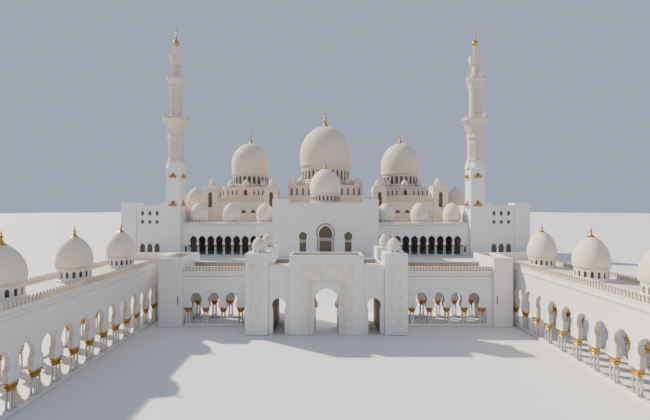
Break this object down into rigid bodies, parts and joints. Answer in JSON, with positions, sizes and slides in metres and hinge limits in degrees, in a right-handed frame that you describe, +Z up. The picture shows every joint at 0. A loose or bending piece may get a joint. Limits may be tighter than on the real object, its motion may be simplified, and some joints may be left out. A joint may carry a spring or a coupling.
{
  "type": "scale model of a domed mosque, one tenth of real size",
  "caption": "White marble mosque at one tenth scale, with a gatehouse court in front of a domed prayer hall between slender minarets.",
  "frame": {"origin": "on the ground, at the middle of the plan's box", "axes": "+X along the front to the right, +Y from the front to the back, +Z up"},
  "size_m": [18.78, 21.855, 10.66],
  "materials": {
    "white_marble": "honed",
    "dome_marble": "honed",
    "dark_glazing": "dark bronze screen",
    "gilding": "gilded"
  },
  "bodies": {
    "root": {"gate_block": "white_marble", "portal_walls": "white_marble", "portal_screen": "dark_glazing", "portal_roof": "white_marble", "portal_dome": "dome_marble", "hall_walls": "white_marble", "hall_roof": "white_marble", "main_dome_tier": "white_marble", "main_dome": "dome_marble", "left_dome_tier": "white_marble", "left_dome": "dome_marble", "right_dome_tier": "white_marble", "right_dome": "dome_marble", "gate_link_left": "white_marble", "gate_pylon_front_left": "white_marble", "gate_pylon_rear_left": "white_marble", "screen_front_left": "white_marble", "screen_rear_left": "white_marble", "screen_roof_left": "white_marble", "corner_block_left": "white_marble", "arcade_inner_left": "white_marble", "arcade_outer_left": "white_marble", "arcade_roof_left": "white_marble", "gallery_front_left": "white_marble", "gallery_roof_left": "white_marble", "wing_left": "white_marble", "minaret_tower_left": "white_marble", "minaret_octagon_left": "white_marble", "minaret_shaft_left": "white_marble", "minaret_lantern_left": "white_marble", "side_hall_left": "white_marble", "inner_turret_left": "white_marble", "outer_turret_left": "white_marble", "gate_link_right": "white_marble", "gate_pylon_front_right": "white_marble", "gate_pylon_rear_right": "white_marble", "screen_front_right": "white_marble", "screen_rear_right": "white_marble", "screen_roof_right": "white_marble", "corner_block_right": "white_marble", "arcade_inner_right": "white_marble", "arcade_outer_right": "white_marble", "arcade_roof_right": "white_marble", "gallery_front_right": "white_marble", "gallery_roof_right": "white_marble", "wing_right": "white_marble", "minaret_tower_right": "white_marble", "minaret_octagon_right": "white_marble", "minaret_shaft_right": "white_marble", "minaret_lantern_right": "white_marble", "side_hall_right": "white_marble", "inner_turret_right": "white_marble", "outer_turret_right": "white_marble"}
  },
  "joints": []
}
